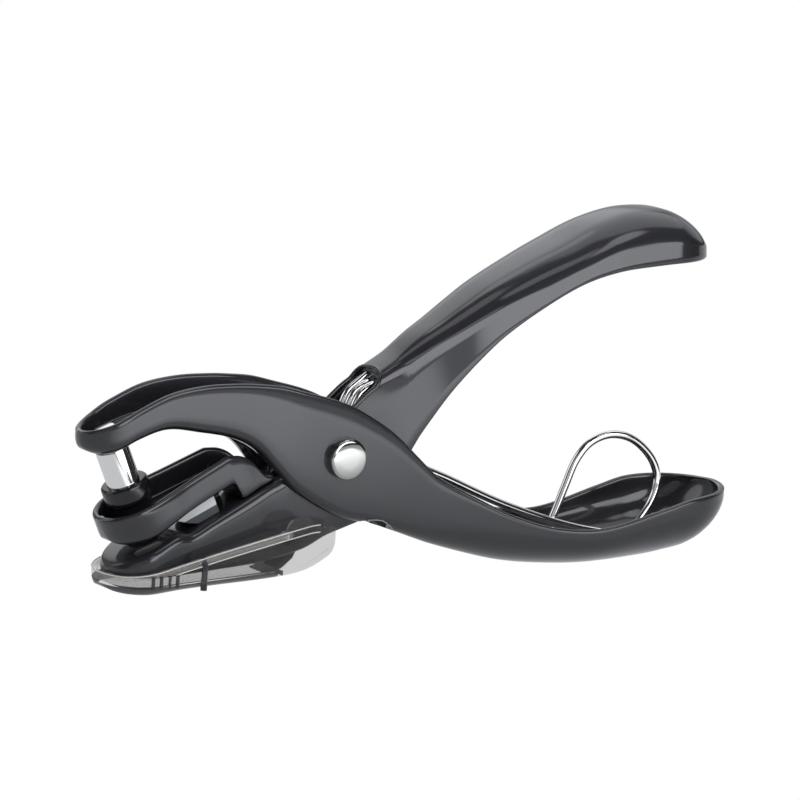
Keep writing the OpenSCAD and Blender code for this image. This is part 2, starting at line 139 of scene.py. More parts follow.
GUIDE_ROWS = (
    (-8.5, -3.85, -9.9, 7.2, 1.5, 1.5, 0),
    (0, -3.85, -9.8, 7.2, 1.5, 1.5, 0),
    (4, -3.85, -9.5, 6.8, 1.5, 1.4, 0),
    (9, -3.85, -9.25, 5.9, 1.4, 1.2, 0),
    (17.7, -3.85, -9.2, 4.9, 1.2, 1.2, 0),
    (18.2, -3.85, -9.3, 4.85, 1.2, 1.2, 0),
    (18.8, -3.89, -12.5, 4.8, 1.2, 1.2, 0),
    (19.2, -4.05, -12.76, 4.75, 1.2, 1.2, 0),
    (21.3, -5.15, -12.76, 4.5, 1.2, 1.2, 0),
    (23.1, -7.15, -12.76, 4.2, 1.2, 1.2, 0),
    (24.7, -10.76, -12.76, 3.95, 1.0, 0.8, 0),
    (27.3, -11.9, -12.76, 3.6, 1.0, 0.5, 0),
)
TRAY_ROWS = (
    (-48, -18.9, -22.5, 9.1, 3.0, 2.4, 0),
    (-44.7, -18.8, -22.5, 9.1, 3.0, 2.4, 0),
    (-40.3, -18.1, -22.4, 9.1, 3.0, 2.4, 0),
    (-33, -16.5, -21.8, 9.0, 3.0, 2.4, 0),
    (-26.5, -15.1, -21.5, 8.9, 3.0, 2.4, 0),
    (-16, -13.1, -21.1, 8.5, 2.6, 2.4, 0),
    (-10, -12.0, -20.4, 8.3, 1.6, 2.4, 0),
    (-6, -11.4, -19.2, 8.2, 1.2, 2.0, 0),
    (0.5, -11.9, -15.4, 8.2, 1.0, 1.6, 0),
)

# Ends of a shell: where nose and tail lie, how long they take to round off, the step between sections,
# and the power that says how late the depth fades (small is blunt)
Plan = namedtuple("Plan", "nose nose_round tail tail_round step nose_fade tail_fade")
JAW_PLAN = Plan(-51.4, 8.0, 86.3, 13.0, 1.1, 0.38, 1.3)
HANDLE_PLAN = Plan(-44.6, 7.0, 78.9, 10.9, 1.1, 0.3, 1.0)
GUIDE_PLAN = Plan(-7.2, 7.2, 27.1, 1.4, 0.5, 0.25, 0.5)
TRAY_PLAN = Plan(-46.0, 7.8, 0.25, 3.5, 1.0, 0.3, 0.3)
GUIDE_SHEET = 1.2

# Sections of a shell: points round the corner, down the wall and over the rim, and in each rounded end,
# share of the depth that a corner may take, least share of a corner left inside the sheet, steepest slope
# that still thickens the crown's drop, and the distance in metres within which points are one
CORNER_STEPS = 8
WALL_STEPS = 5
RIM_STEPS = 6
END_STEPS = 12
CORNER_MOST = 0.9
INNER_LEAST = 0.4
STEEPEST = 2.0
MERGE = 2e-6

# Crease of a flared wall: flare from which it is full, degrees left of the corner, share of the flare, depth
CREASE_FULL = 0.5
CREASE_TURN = 24
CREASE_OUT = 0.6
CREASE_DEEP = 0.52

# Jaw lever: half width over the cheeks, the opening between them (its point in front as x and half width,
# then x and how far inside the cheek), the pin's slot (front, rear, half width)
CHEEK_HALF = 6.6
WEB_GAP = 0.25
WEB_FRONT = ((-20.4, 0), (-19.8, 1.5), (-18.4, 2.6), (-16.8, 3.2))
WEB_SIDE = ((-13.6, 0.4), (-10.5, 0.0))
WEB_REAR, WEB_REAR_ROUND = 6.0, 2.4
WEB_LOW, WEB_HIGH = -18, 8
PIN_SLOT = (-48.29, -40.09, 2.05)
PIN_SLOT_LOW, PIN_SLOT_HIGH = -4, 8
CUT_REACH = 20

# The bitten lower edge under the cheek, as seen from the side, and the lip along it, drawn in a pale grey that
# paints in the edge's highlight
EDGE_BITE = (
    (4.6, -12.0),
    (6.8, -11.8),
    (8.8, -12.1),
    (10.35, -13.1),
    (11.05, -14.3),
    (10.9, -17),
    (4, -17),
)
BITE_FROM = 4.2
BITE_LIP = ((5.6, -11.8), (7.4, -11.85), (8.8, -12.1), (10.35, -13.1), (10.95, -13.9))
BITE_LIP_Y, BITE_LIP_R = 6.5, 0.12

# Handle lever: half width over the inner cheeks, the notch for the jaw lever's web, holes for rivet, tray and die
INNER_HALF = 4.6
NOTCH_FRONT, NOTCH_REAR, NOTCH_GAP = -12, 9.2, 0.1
NOTCH_LOW, NOTCH_HIGH = -10, 20
RIVET_HOLE_R = 2.55
HINGE_X, HINGE_Z, HINGE_HOLE_R = -10.4, -14.3, 1.56
DIE_R, DIE_LOW, DIE_HIGH = 3.06, -20, -10

# Spring window: straight part ends here, half width, reach of the arched end, foot line at x 0 and its rise
WINDOW_X = 7.0
WINDOW_HALF = 4.7
WINDOW_ARCH = 2.3
WINDOW_FOOT = 5.9
WINDOW_RISE = 0.875
WINDOW_START, WINDOW_TOP = -3, 20
WINDOW_LIP_R, WINDOW_LIP_IN, WINDOW_LIP_SUNK, WINDOW_LIP_START = 0.42, 0.2, 0.3, -2
WINDOW_LIP_LEAN = Vector((-0.6, 0, 0.8))

# Guide bush, in the leaning frame: spigot in the guide's floor, stem, and the collar that runs out from it
GUIDE_BORE_R, GUIDE_BORE_LOW, GUIDE_BORE_HIGH = 3.64, -11.5, -6.5
BUSH_PLAY = 0.04
BUSH_WALL = 1.3
STEM_SHARE, SPIGOT_SHARE = 0.55, 0.45
SPIGOT_LOW, STEM_LOW, COLLAR_LOW = -9.2, -8.0, -3.6
COLLAR_HOLLOW, COLLAR_ROUND = 0.9, 0.6

# Paper stop, in the leaning frame: pale block on a foot painted dark as shade, with a thin web behind it, a dark
# sheet that paints in the shade of the slot
STOP_TOP, STOP_SPLIT, STOP_LOW = -9.25, -11.3, -12.81
STOP_REAR, STOP_WEB_REAR, STOP_HALF, STOP_WEB_NEAR = 14, 18.1, 3.5, 3.0
STOP_BLOCK = ((4.2, STOP_TOP), (STOP_REAR, STOP_TOP), (STOP_REAR, STOP_SPLIT), (6.93, STOP_SPLIT))
STOP_FOOT = (
    (6.93, STOP_SPLIT),
    (STOP_REAR, STOP_SPLIT),
    (STOP_REAR, STOP_LOW),
    (9.4, STOP_LOW),
    (7.6, -11.81),
)
STOP_WEB = (
    (STOP_REAR, STOP_TOP),
    (STOP_WEB_REAR, STOP_TOP),
    (STOP_WEB_REAR, STOP_LOW),
    (STOP_REAR, STOP_LOW),
)
STOP_EDGE = 0.1
STOP_SLACK = 0.01

# Punch pin, heights in the leaning frame: its shoulder under the jaw, the neck in the jaw's slot and its head.
# Rounded edges are steps in and down from the corner
PIN_LOW, PIN_CHAMFER = -9.0, 0.15
SHOULDER = 6.9
NECK_R, HEAD_R = 1.7, 2.3
HEAD_LOW, HEAD_TOP = 9.7, 10.7
SHOULDER_EDGE = ((0, 0.35), (0.1, 0.15), (0.35, 0))
HEAD_EDGE = ((0, 0.4), (0.15, 0.15), (0.4, 0))

# Pivot rivet: half of it as radius and distance from the middle, head first
RIVET_HEAD = (
    (0, 8.4),
    (1.6, 8.38),
    (3.1, 8.32),
    (3.4, 8.25),
    (3.6, 8.1),
    (3.72, 7.85),
    (3.75, 7.6),
    (3.75, 6.62),
)
RIVET_R, RIVET_GRIP = 2.5, 6.62

# Return spring: the coil, the short leg in the upper handle, then the long leg and the raised loop by rows
COIL_X, COIL_Z, COIL_R, COIL_PITCH = 9.9, 6.4, 5.9, 1.98
COIL_START, COIL_END, COIL_STEPS = 131.0, 963.0, 92
LEG_TURN, LEG_LENGTH, LEG_STEPS = 36, 4.8, 8
WIRE_X, WIRE_Z, WIRE_Y = 1, 2, 3
WIRE_STEPS = 8
WIRE_ROWS = (
    (0, 24.6, -6.0, -2.1),
    (1, 38.0, -11.9, -1.5),
    (2, 51.9, -16.7, -0.9),
    (3, 61.9, -19.0, -0.8),
    (4, 66.6, -19.3, -0.7),
    (5, 69.6, -16.9, -0.5),
    (6, 72.4, -13.2, -0.2),
    (7, 73.3, -9.4, 0.0),
    (8, 71.6, -5.3, 0.3),
    (9, 67.5, -1.8, 0.6),
    (10, 62.7, -0.7, 0.8),
    (11, 58.4, -2.0, 1.0),
    (12, 55.5, -5.2, 1.2),
    (13, 53.6, -9.6, 1.3),
    (14, 51.9, -14.0, 1.4),
    (15, 50.7, -16.9, 1.5),
)

# Chip tray: flat foot, open rear, tongue as seen from the side, hinge boss and disc, ribs and post on each wall
FOOT = -22.15
FOOT_CUT_FRONT, FOOT_CUT_REAR, FOOT_CUT_DEEP = -60, 10, 5
MOUTH_FRONT, MOUTH_REAR, MOUTH_HALF = -12, 4, 6.8
MOUTH_LOW, MOUTH_HIGH = -26, -8
TONGUE = (
    (-13.4, -20.4),
    (-10.6, -19.5),
    (-8.6, -17.9),
    (-7.4, -15.6),
    (-6.6, -15.9),
    (-7.9, -18.5),
    (-10.1, -20.2),
    (-13.0, -21.2),
)
TONGUE_HALF = 3.05
BOSS_R, BOSS_IN, BOSS_OUT = 1.5, 3.5, 7.9
DISC_X, DISC_Z, DISC_R, DISC_IN, DISC_OUT = -9.3, -12.9, 3.1, 7.55, 8.25
RIB_X, RIB_PITCH, RIB_COUNT, RIB_Y, RIB_R = -40.1, 1.65, 4, 9.05, 0.35
RIB_LOW, RIB_HIGH = FOOT + 1.4, FOOT + 3.7
POST_X, POST_Y, POST_R = -29.6, 8.85, 0.6
POST_LOW, POST_HIGH = FOOT + 0.5, FOOT + 5.5

# Side-view lines on the tray wall, height at x 0 and rise: top of the foot band painted dark as shade, underside
# of the thick rim painted paler as caught light
FOOT_LINE = (-18.9, 0.043)
RIM_LINE = (-11.4, 0.196)
FOOT_END = -13.6
RIM_END = -11
FLAT_FLOOR = 0.95
POST_BAND, POST_FACE, RIB_FRONT, RIB_REAR, RIB_FACE = 0.62, 8.2, -40.6, -34.7, 9.12
TONGUE_FRONT, TONGUE_SIDE = -13.2, 3.1

# Painted highlights on the tray's rim, drawn as thin pale beads: rear end, steps along the side, how far below
# the rim they run
LIT_EDGE_R, LIT_EDGE_END = 0.11, -5.5
LIT_EDGE_STEPS, LOWER_EDGE_STEPS = 33, 31
UPPER_EDGE_DROP, LOWER_EDGE_DROP = 0.15, 1.45


# Outlines


def curve(rows, x, k):
    """Column k at x on a smooth line through the rows."""
    i = 0
    while i < len(rows) - 2 and x >= rows[i + 1][0]:
        i += 1

    def slope(j):
        a, b = max(j - 1, 0), min(j + 1, len(rows) - 1)
        return (rows[b][k] - rows[a][k]) / (rows[b][0] - rows[a][0])

    h = rows[i + 1][0] - rows[i][0]
    t = (x - rows[i][0]) / h
    m0, m1 = slope(i) * h, slope(i + 1) * h
    return (
        (2 * t**3 - 3 * t * t + 1) * rows[i][k]
        + (t**3 - 2 * t * t + t) * m0
        + (3 * t * t - 2 * t**3) * rows[i + 1][k]
        + (t**3 - t * t) * m1
    )


def arc(middle, radii, start, end, steps):
    """Points round part of an ellipse, from one angle in degrees to another."""
    turns = [math.radians(start + (end - start) * k / steps) for k in range(steps + 1)]
    return [(middle[0] + radii[0] * math.cos(a), middle[1] + radii[1] * math.sin(a)) for a in turns]


def circle(x, y, r, steps=40):
    return arc((x, y), (r, r), 0, 360, steps)[:-1]


def box_outline(x0, x1, half):
    return [(x0, -half), (x1, -half), (x1, half), (x0, half)]


def slot_outline(x0, x1, half, steps=14):
    rear = arc((x1 - half, 0), (half, half), -90, 90, steps)
    return rear + arc((x0 + half, 0), (half, half), 90, 270, steps)


def web_outline(half):
    """The opening between the jaw lever's cheeks, seen from above: pointed in front, rounded at the rear."""
    front = [*WEB_FRONT, *((x, half - inside) for x, inside in WEB_SIDE)]
    top = front + arc((WEB_REAR, 0), (WEB_REAR_ROUND, half), 90, 0, 12)
    return top + [(x, -y) for x, y in reversed(top[1:-1])]


def window_outline(half, start):
    """The arch of the spring window as seen from above."""
    arch = arc((WINDOW_X, 0), (WINDOW_ARCH, half), -90, 90, 18)
    steps = [start + (WINDOW_X - start) * k / 8 for k in range(8)]
    return [(x, -half) for x in steps] + arch + [(x, half) for x in reversed(steps)]


# Meshes


def section(rim, spine, w, ry, rz, flare, t, drop, f, fd):
    """One closed cross line of a pressed shell as (across, up, is_inner) points, rim rounded."""
    way = 1 if spine > rim else -1
    r = t / 2

    # A flared wall leaves the corner early, at a crease, and runs straight to the rim
    crease = min(1.0, flare / CREASE_FULL)
    end = math.radians(90 - CREASE_TURN * crease)

    def half(wide, d, py, pz, skirt):
        d_abs = abs(d)
        flat = wide - min(py, wide)
        knee = wide + CREASE_OUT * skirt
        py = (knee - flat) / math.sin(end)
        pz = min(pz * (1 + CREASE_DEEP * crease), d_abs * CORNER_MOST)
        out = [(0.0, d)]
        for k in range(CORNER_STEPS + 1):
            a = end * k / CORNER_STEPS
            out.append((flat + py * math.sin(a), d - way * pz * (1 - math.cos(a))))
        low = d_abs - pz * (1 - math.cos(end))
        for k in range(1, WALL_STEPS + 1):
            s = k / WALL_STEPS
            out.append((knee + (wide + skirt - knee) * s, way * (low + (r * min(fd, 1) - low) * s)))
        return out

    outer = half(w * f, (spine - rim) * fd, ry * f, rz * fd, flare * f)
    share = max(INNER_LEAST, 1 - t / max(ry, 0.1))
    inner = half((w - t) * f, (spine - rim - way * drop) * fd, ry * share * f, rz * share * fd, flare * f)
    ow, iw = outer[-1][0], inner[-1][0]
    mid, rad = (ow + iw) / 2, (ow - iw) / 2
    turn = []
    for k in range(1, RIM_STEPS):
        a = math.pi * k / RIM_STEPS
        turn.append((mid + rad * math.cos(a), way * r * min(fd, 1) * (1 - math.sin(a)), k / RIM_STEPS))
    loop = [(y, rim + z, 0.0) for y, z in outer]
    loop += [(y, rim + z, s) for y, z, s in turn]
    loop += [(y, rim + z, 1.0) for y, z in reversed(inner)]
    return loop


def face_outward(bm):
    """Turns every face outward, from normals that are brought up to date first."""
    bm.normal_update()
    bmesh.ops.recalc_face_normals(bm, faces=bm.faces)
    return bm


def pressed_shell(rows, plan, t, place):
    """A pressed or moulded shell through changing sections. Its ends fade to a line, which bridging
    loops would twist, so the sections' points are joined one to one."""
    a, b = plan.nose + plan.nose_round, plan.tail - plan.tail_round
    n = math.ceil((b - a) / plan.step)
    fade = [math.cos(math.radians(90 * k / END_STEPS)) for k in range(END_STEPS)]
    xs = [a - plan.nose_round * c for c in fade]
    xs += [a + (b - a) * k / n for k in range(n + 1)]
    xs += [b + plan.tail_round * c for c in reversed(fade)]
    bm = bmesh.new()
    grid = []
    for x in xs:
        if x < a:
            s, end, power, rad = (a - x) / plan.nose_round, a, plan.nose_fade, plan.nose_round
        elif x > b:
            s, end, power, rad = (x - b) / plan.tail_round, b, plan.tail_fade, plan.tail_round
        else:
            s, end, power, rad = 0.0, x, 1.0, 1.0
        f = math.sqrt(max(0.0, 1 - s * s))
        x_in = end + (x - end) * (rad - t) / rad if s else x
        lean = curve(rows, x + 0.5, SPINE) - curve(rows, x - 0.5, SPINE)
        drop = t * math.sqrt(1 + min(lean * lean, STEEPEST**2))
        sizes = [curve(rows, x, k) for k in (RIM, SPINE, HALF, CORNER_ACROSS, CORNER_DOWN, FLARE)]
        half = section(*sizes, t, drop, f, f**power)
        line = [bm.verts.new(place((x + (x_in - x) * inside, y, z))) for y, z, inside in half]
        for y, z, inside in reversed(half[1:-1]):
            line.append(bm.verts.new(place((x + (x_in - x) * inside, -y, z))))
        grid.append(line)
    m = len(grid[0])
    for here, there in zip(grid, grid[1:]):
        for j in range(m):
            k = (j + 1) % m
            bm.faces.new((here[j], here[k], there[k], there[j]))
    bmesh.ops.remove_doubles(bm, verts=bm.verts, dist=MERGE)
    bmesh.ops.dissolve_degenerate(bm, dist=MERGE, edges=bm.edges)
    return face_outward(bm)


def put(bm, place):
    """Moves a mesh from a place's own millimetres into the frame."""
    for vert in bm.verts:
        vert.co = place(vert.co)
    return face_outward(bm)


def lathe(profile, place):
    """A turned piece: the profile's rows are radius and height, from the axis back to it or a closed ring."""
    bm = bmesh.new()
    verts = [bm.verts.new((r, 0, h)) for r, h in profile]
    pairs = list(zip(verts, verts[1:]))
    if profile[0][0] > 0 and profile[-1][0] > 0:
        pairs.append((verts[-1], verts[0]))
    edges = [bm.edges.new(pair) for pair in pairs]
    bmesh.ops.spin(
        bm,
        geom=verts + edges,
        cent=(0, 0, 0),
        axis=(0, 0, 1),
        angle=2 * math.pi,
        steps=72,
        use_merge=True,
    )
    bmesh.ops.remove_doubles(bm, verts=bm.verts, dist=MERGE / MM)
    return put(bm, place)


def prism(outline, lo, hi, place):
    """A straight piece: outline points (a, b) run from lo to hi along the third direction."""
    bm = bmesh.new()
    face = bm.faces.new([bm.verts.new((a, b, lo)) for a, b in outline])
    geom = bmesh.ops.extrude_face_region(bm, geom=[face])["geom"]
    top = [g for g in geom if isinstance(g, bmesh.types.BMVert)]
    bmesh.ops.translate(bm, vec=(0, 0, hi - lo), verts=top)
    return put(bm, place)


def upright(outline, lo, hi):
    return prism(outline, lo, hi, at_pivot)


def cross_hole(x, z, radius):
    """A cutter right across the tool."""
    return prism(circle(x, z, radius), -CUT_REACH, CUT_REACH, side_view)


def pin_hole(radius, low, high):
    """A cutter along the pin."""
    return prism(circle(0, 0, radius), low, high, in_jaw)


def sweep(path, radius, sides, side_axis):
    """A round wire along a path in the frame: a ring, turned by an axis the path never follows, is
    extruded from point to point."""

    def station(i):
        run = (path[min(i + 1, len(path) - 1)] - path[max(i - 1, 0)]).normalized()
        u = run.cross(side_axis).normalized()
        turn = Matrix((u, u.cross(run), run)).transposed().to_4x4()
        return Matrix.Translation(path[i]) @ turn

    bm = bmesh.new()
    here = station(0)
    bmesh.ops.create_circle(bm, segments=sides, radius=radius, matrix=here)
    ring = bm.edges[:]
    for i in range(1, len(path)):
        geom = bmesh.ops.extrude_edge_only(bm, edges=ring)["geom"]
        ring = [g for g in geom if isinstance(g, bmesh.types.BMEdge)]
        verts = [g for g in geom if isinstance(g, bmesh.types.BMVert)]
        there = station(i)
        bmesh.ops.transform(bm, matrix=there @ here.inverted(), verts=verts)
        here = there
    bmesh.ops.holes_fill(bm, edges=bm.edges, sides=0)
    return face_outward(bm)


def round_edges(bm, offset, segments):
    """Rounds every edge that turns by more than a slight angle."""
    edges = [e for e in bm.edges if e.is_manifold and e.calc_face_angle() > math.radians(35)]
    bmesh.ops.bevel(
        bm,
        geom=edges,
        offset=offset * MM,
        affect="EDGES",
        segments=segments,
        profile=0.5,
        material=-1,
        clamp_overlap=True,
    )


def join(target, *others):
    for other in others:
        mesh = bpy.data.meshes.new("part")
        other.to_mesh(mesh)
        other.free()
        target.from_mesh(mesh)
        bpy.data.meshes.remove(mesh)
    return target


def to_object(name, bm, material):
    mesh = bpy.data.meshes.new(name)
    bm.to_mesh(mesh)
    bm.free()
    mesh.materials.append(material)
    obj = bpy.data.objects.new(name, mesh)
    bpy.context.scene.collection.objects.link(obj)
    return obj


def cut(obj, *tools, operation="DIFFERENCE"):
    """Takes each tool mesh out of the object's mesh, or adds it, and keeps the result as plain mesh."""
    material = obj.data.materials[0]
    for bm in tools:
        mesh = bpy.data.meshes.new("tool")
        bm.to_mesh(mesh)
        bm.free()
        tool = bpy.data.objects.new("tool", mesh)
        bpy.context.scene.collection.objects.link(tool)
        mod = obj.modifiers.new("cut", "BOOLEAN")
        mod.operation = operation
        mod.solver = "MANIFOLD"
        mod.object = tool
        bpy.context.view_layer.update()
        result = bpy.data.meshes.new_from_object(obj.evaluated_get(bpy.context.evaluated_depsgraph_get()))
        obj.modifiers.clear()
        old = obj.data
        name = old.name
        obj.data = result
        bpy.data.meshes.remove(old)
        result.name = name
        bpy.data.objects.remove(tool)
        bpy.data.meshes.remove(mesh)
    # A tool brings an empty material slot, so the piece goes back to its own material
    obj.data.materials.clear()
    obj.data.materials.append(material)
    for face in obj.data.polygons:
        face.material_index = 0


def add_trim(obj, material, *trims):
    """Joins lips and lit edges to a piece, in a material it has or gets."""
    slots = obj.data.materials
    if material.name not in slots:
        slots.append(material)
    index = slots.find(material.name)
    bm = bmesh.new()
    bm.from_mesh(obj.data)
    for trim in trims:
        for face in trim.faces:
            face.material_index = index
        join(bm, trim)
    bm.to_mesh(obj.data)
    bm.free()


def shade(obj, angle=40):
    """Smooth faces, with a crease wherever two of them turn by more than the angle."""
    obj.data.shade_smooth()
    obj.data.set_sharp_from_angle(angle=math.radians(angle))


def finish_piece(obj, body, slot, *nodes, smooth=40):
    shade(obj, smooth)
    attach(obj, body)
    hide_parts(*nodes)


# Materials


def srgb(hexa):
    def linear(c):
        c /= 255
        return c / 12.92 if c <= 0.04045 else ((c + 0.055) / 1.055) ** 2.4

    return tuple(linear(int(hexa[i : i + 2], 16)) for i in (1, 3, 5)) + (1.0,)


def add_node(tree, kind, inputs=None, **choices):
    """Adds one node: inputs hold a value or a socket to link for each input, by its name or number."""
    node = tree.nodes.new(kind)
    for key, value in choices.items():
        setattr(node, key, value)
    for key, value in (inputs or {}).items():
        if isinstance(value, bpy.types.NodeSocket):
            tree.links.new(value, node.inputs[key])
        else:
            node.inputs[key].default_value = value
    return node


def one_colour(name, colour, metallic, roughness, cover):
    """A finish without a pattern. Cover is the share of what lies behind a face that it holds back."""
    mat = bpy.data.materials.new(name)
    mat.use_nodes = True
    sockets = mat.node_tree.nodes["Principled BSDF"].inputs
    sockets["Base Color"].default_value = colour
    sockets["Metallic"].default_value = metallic
    sockets["Roughness"].default_value = roughness
    sockets["Alpha"].default_value = cover
    return mat


# Powder coat: its orange peel in millimetres, from crest to crest and in height. A real one is finer and
# flatter, and is drawn this coarse so that it shows
COAT_PEEL = 10 / 3
COAT_RELIEF = 0.2


def powder_coat():
    # Gloss black powder baked on pressed steel: a dull black body under a clear skin that mirrors
    # the studio in soft-edged shapes, with faint waves that break the reflections a little
    mat = one_colour("powder_coat", settings().coat_colour, 0.0, 0.5, 1.0)
    tree = mat.node_tree
    sockets = tree.nodes["Principled BSDF"].inputs
    sockets["Specular IOR Level"].default_value = 0.3
    sockets["Coat Weight"].default_value = 1.0
    sockets["Coat Roughness"].default_value = 0.08
    coord = add_node(tree, "ShaderNodeTexCoord")
    peel = {"Vector": coord.outputs["Object"], "Scale": 1 / (COAT_PEEL * MM), "Detail": 2.0}
    waves = add_node(tree, "ShaderNodeTexNoise", peel)
    relief = {"Height": waves.outputs["Fac"], "Strength": 0.12, "Distance": COAT_RELIEF * MM}
    bump = add_node(tree, "ShaderNodeBump", relief)
    tree.links.new(bump.outputs["Normal"], sockets["Normal"])
    return mat


def smoked_styrene():
    # Smoked polystyrene, injection moulded: thin walls show what lies behind them in grey
    return one_colour("smoked_styrene", settings().tray_colour, 0.0, 0.07, 0.25)


SET_BY_USER = {"powder_coat": powder_coat, "smoked_styrene": smoked_styrene}

# Finishes of one colour: colour, metal share, roughness, cover
FINISHES = {
    # Turned steel with a black oxide skin: nearly black, with narrow sharp glints
    "blackened_steel": ("#101012", 0.0, 0.08, 1.0),
    # Moulded grey nylon: flat and pale, without a mirror image
    "grey_nylon": ("#b4b8bb", 0.0, 0.45, 1.0),
    # Painted shade of the paper stop: dark and dull on its foot and on the web behind it, where the slot lies in
    # shade
    "stop_painted_shade": ("#2b2c2f", 0.0, 0.4, 1.0),
    # Sheet edge where the powder runs thin, drawn as a dull grey line that is also a painted highlight along the
    # bitten edge
    "edge_painted_highlight": ("#6c6e71", 0.0, 0.75, 1.0),
    # Chrome-plated steel, polished: bright with hard dark bands
    "chrome_plate": ("#e9e8e6", 1.0, 0.09, 1.0),
    # Nickel-plated steel, polished: a little darker and warmer than chrome
    "nickel_plate": ("#acaca8", 1.0, 0.07, 1.0),
    # Smoked polystyrene seen along the floor's edge, so deep that it is almost black; this near-opaque dark copy
    # is painted shade, also on the tongue, ribs and posts
    "smoked_styrene_painted_shade": ("#1d1d1f", 0.0, 0.07, 0.96),
    # Smoked polystyrene in the thick rim: milky grey, paler than the wall as painted light that the rim catches
    "smoked_styrene_rim_painted_light": ("#7d7a78", 0.0, 0.07, 0.45),
    # Painted highlight on the edges of that rim: a thin pale line
    "styrene_painted_highlight": ("#a3a19f", 0.0, 0.4, 1.0),
}


def get_material(name):
    made = bpy.data.materials.get(name)
    if made:
        return made
    if name in SET_BY_USER:
        return SET_BY_USER[name]()
    hexa, metallic, roughness, cover = FINISHES[name]
    return one_colour(name, srgb(hexa), metallic, roughness, cover)


# Properties


class HolePunchSettings(bpy.types.PropertyGroup):
    """Sizes and colours of the punch"""

    pin_diameter: bpy.props.FloatProperty(
        name="Pin diameter",
        description="Size of the punched hole",
        default=0.006,
        unit="LENGTH",
        subtype="DISTANCE",
    )
    wire_diameter: bpy.props.FloatProperty(
        name="Wire diameter",
        description="Wire of the return spring",
        default=0.0015,
        unit="LENGTH",
        subtype="DISTANCE",
    )
    sheet_thickness: bpy.props.FloatProperty(
        name="Sheet",
        description="Sheet thickness of the levers",
        default=0.0012,
        unit="LENGTH",
        subtype="DISTANCE",
    )
    tray_wall: bpy.props.FloatProperty(
        name="Tray wall",
        description="Wall of the chip tray",
        default=0.0009,
        unit="LENGTH",
        subtype="DISTANCE",
    )
    coat_colour: bpy.props.FloatVectorProperty(
        name="Coat colour",
        description="Powder coat of the levers and the guide",
        default=srgb("#121216"),
        size=4,
        min=0,
        max=1,
        subtype="COLOR",
    )
    tray_colour: bpy.props.FloatVectorProperty(
        name="Tray colour",
        description="Smoke in the clear walls of the chip tray",
        default=srgb("#3a3735"),
        size=4,
        min=0,
        max=1,
        subtype="COLOR",
    )


def settings():
    return bpy.context.scene.hole_punch


# Levers


class HOLEPUNCH_OT_jaw_lever(bpy.types.Operator):
    """Build the upper jaw with its cheeks and dished lower handle"""

    bl_idname = "hole_punch.jaw_lever"
    bl_label = "Jaw Lever"

    def execute(self, context):
        t = settings().sheet_thickness / MM
        bm = pressed_shell(JAW_ROWS, JAW_PLAN, t, at_pivot)
        obj = to_object("jaw_lever_shell", bm, get_material("powder_coat"))
        cut(
            obj,
            upright(web_outline(CHEEK_HALF - t - WEB_GAP), WEB_LOW, WEB_HIGH),
            upright(slot_outline(*PIN_SLOT), PIN_SLOT_LOW, PIN_SLOT_HIGH),
            cross_hole(0, 0, RIVET_R),
            prism(EDGE_BITE, -CUT_REACH, -BITE_FROM, side_view),
            prism(EDGE_BITE, BITE_FROM, CUT_REACH, side_view),
        )
        lips = []
        for y in (-BITE_LIP_Y, BITE_LIP_Y):
            path = [at_pivot((x, y, z)) for x, z in BITE_LIP]
            lips.append(sweep(path, BITE_LIP_R * MM, sides=10, side_axis=ACROSS))
        # The lips' pale grey paints in the highlight along the bitten edge
        add_trim(obj, get_material("edge_painted_highlight"), *lips)
        finish_piece(obj, "jaw_body", "black_coat", "jaw_lever")
        return {"FINISHED"}


def window_tool():
    """Cuts the crown open and stops at the sloping foot line, so the side walls stay."""
    bm = upright(window_outline(WINDOW_HALF, WINDOW_START), 0, WINDOW_TOP)
    middle = at_pivot((0, 0, WINDOW_TOP / 2)).z
    for vert in bm.verts:
        if vert.co.z < middle:
            x = vert.co.x / MM - PIVOT.x
            vert.co.z = at_pivot((0, 0, WINDOW_FOOT + WINDOW_RISE * x)).z
    return bm


def window_point(p):
    """Where the rolled lip of the spring window runs on the crown."""
    x, y = p
    spine, w, ry, rz = (curve(HANDLE_ROWS, x, k) for k in (SPINE, HALF, CORNER_ACROSS, CORNER_DOWN))
    past = max(0.0, abs(y) - (w - ry)) / ry
    return at_pivot((x, y, spine - rz * (1 - math.sqrt(1 - past * past)) - WINDOW_LIP_SUNK))


class HOLEPUNCH_OT_handle_lever(bpy.types.Operator):
    """Build the lower jaw with its inner cheeks and raised upper handle"""

    bl_idname = "hole_punch.handle_lever"
    bl_label = "Handle Lever"

    def execute(self, context):
        t = settings().sheet_thickness / MM
        coat = get_material("powder_coat")
        obj = to_object("handle_lever_shell", pressed_shell(HANDLE_ROWS, HANDLE_PLAN, t, at_pivot), coat)
        notch = slot_outline(NOTCH_FRONT, NOTCH_REAR, INNER_HALF - t - NOTCH_GAP)
        cut(
            obj,
            upright(notch, NOTCH_LOW, NOTCH_HIGH),
            window_tool(),
            cross_hole(0, 0, RIVET_HOLE_R),
            cross_hole(HINGE_X, HINGE_Z, HINGE_HOLE_R),
            pin_hole(DIE_R, DIE_LOW, DIE_HIGH),
        )
        edge = [window_point(p) for p in window_outline(WINDOW_HALF - WINDOW_LIP_IN, WINDOW_LIP_START)]
        add_trim(obj, coat, sweep(edge, WINDOW_LIP_R * MM, sides=12, side_axis=WINDOW_LIP_LEAN))
        finish_piece(obj, "handle_body", "black_coat", "handle_lever")
        return {"FINISHED"}


# Guide with bush and paper stop


